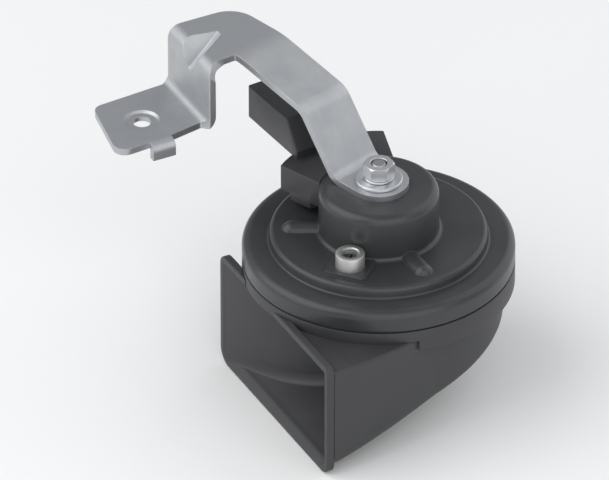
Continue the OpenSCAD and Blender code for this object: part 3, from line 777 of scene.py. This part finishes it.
floor_m = floor_slope * (flare_y + mouth_y - 5) + front_floor + wall - growth
open_up = clamped(calc("DIVIDE", flange_t - (y + mouth_y), flange_t)) ** 2 * bell
outer_x = outer_x + (opening_side - outer_x) * open_up
top_m = roof + growth + (opening_top - roof) * open_up
floor_m = floor_m + (opening_floor - floor_m) * open_up

# Spiral: one turn whose walls draw in towards the throat while its floor
# rises to the plate; the last row is the wall that closes it.
belly, inner_draw, outer_draw = 2.5, 21, 25
throat_floor, floor_drop = -26.4, 17.5
degrees = calc("MAXIMUM", row - mouth_rows, 0) * row_degrees
angle = degrees * math.radians(1)
inner_s = inner_r + belly * eased(degrees * (1 / 200)) \
    - inner_draw * eased((degrees - 200) * (1 / 160)) - growth
outer_s = body_r - wall - outer_draw * eased((degrees - 180) * (1 / 160)) + growth
floor_s = wall + throat_floor - growth - floor_drop * calc("EXPONENT", degrees * (-1 / 60))
close_up = calc("GREATER_THAN", row, rows - 1.5) * growth

# Rounded section between the two walls, then the two parts joined.
winding = calc("GREATER_THAN", row, mouth_rows + 0.5)
across = calc("COSINE", turn)
upward = calc("SINE", turn)
width = outer_x - inner_x
width = width + (outer_s - inner_s - width) * winding
floor_level = floor_m + (floor_s - floor_m) * winding
top_level = top_m + (roof + growth - top_m) * winding
tall = top_level - floor_level
low_r = 4 - 1.4 * eased((row - 20) * (1 / 40)) + growth * (1 - open_up)
edge_r = low_r + (1.2 - low_r) * calc("GREATER_THAN", upward, 0)
along = width * 0.5 + calc("SIGN", across) * (width * 0.5 - edge_r) + edge_r * across
height = (top_level + floor_level) * 0.5 + calc("SIGN", upward) * (tall * 0.5 - edge_r) \
    + edge_r * upward
reach = inner_s + along
place_x = inner_x + along
place_x = place_x + (reach * calc("COSINE", angle) - place_x) * winding
place_y = y + (reach * calc("SINE", angle) + close_up - y) * winding
gather = duct_tree.nodes.new("ShaderNodeCombineXYZ")
for socket, value in zip(gather.inputs, (place_x, place_y, height)):
    duct_tree.links.new(value.socket, socket)
set_place = duct_tree.nodes.new("GeometryNodeSetPosition")
realize = duct_tree.nodes.new("GeometryNodeRealizeInstances")
set_finish = duct_tree.nodes.new("GeometryNodeSetMaterial")
duct_out = duct_tree.nodes.new("NodeGroupOutput")
for source, target in ((grid.outputs["Mesh"], set_place.inputs["Geometry"]),
                       (gather.outputs[0], set_place.inputs["Position"]),
                       (set_place.outputs[0], realize.inputs[0]),
                       (realize.outputs[0], set_finish.inputs["Geometry"]),
                       (duct_in.outputs["Material"], set_finish.inputs["Material"]),
                       (set_finish.outputs[0], duct_out.inputs["Duct"])):
    duct_tree.links.new(source, target)


def swept_duct(name, **values):
    """The duct's tree as a closed solid; growth makes it the outer side."""
    work = grown(name, duct_tree, **values)
    bmesh.ops.remove_doubles(work, verts=work.verts, dist=0.002)
    bmesh.ops.holes_fill(work, edges=[e for e in work.edges if e.is_boundary])
    return solid(work, name, trumpet_black)


def rounded(points, radii, steps=8):
    """The outline with every corner rounded by a radius of its own."""
    ring = []
    for i, (point, radius) in enumerate(zip(points, radii)):
        point = Vector(point)
        before = (Vector(points[i - 1]) - point).normalized()
        after = (Vector(points[(i + 1) % len(points)]) - point).normalized()
        half = before.angle(after) / 2
        centre = point + (before + after).normalized() * (radius / math.sin(half))
        start = point + before * (radius / math.tan(half)) - centre
        end = point + after * (radius / math.tan(half)) - centre
        first = math.atan2(start.y, start.x)
        swing = (math.atan2(end.y, end.x) - first + math.pi) % math.tau - math.pi
        for k in range(steps + 1):
            bend = first + swing * k / steps
            ring.append(centre + radius * Vector((math.cos(bend), math.sin(bend))))
    return ring


outer_duct = swept_duct("snail", Growth=2.2, Material=trumpet_black)
hollow_duct = swept_duct("hollow_duct", Bell=1.0, Material=trumpet_black)
throat = prism("throat", circle(*throat_at, throat_r), -17.2, -12, material=trumpet_black)
rim_clearance = prism("rim_clearance", circle(0, 0, rim_r + 0.15, 180), plate_low, 0,
                      material=trumpet_black)
flange_front, flange_back = -48.2, -45.1
flange = prism("flange", rounded(box_outline(-31.5, 52.3, -57.3, -10.8), (6.3, 4.7, 3.1, 3.9)),
               flange_front, flange_back, "y", trumpet_black)
soften = flange.modifiers.new("soften", "BEVEL")
soften.width = 0.5
soften.segments = 3
cut(flange, "DIFFERENCE", rim_clearance)
cut(outer_duct, "UNION", flange)
cut(outer_duct, "DIFFERENCE", hollow_duct, throat)
put_on(outer_duct, "trumpet_plastic", "snail_trumpet", crease=28)
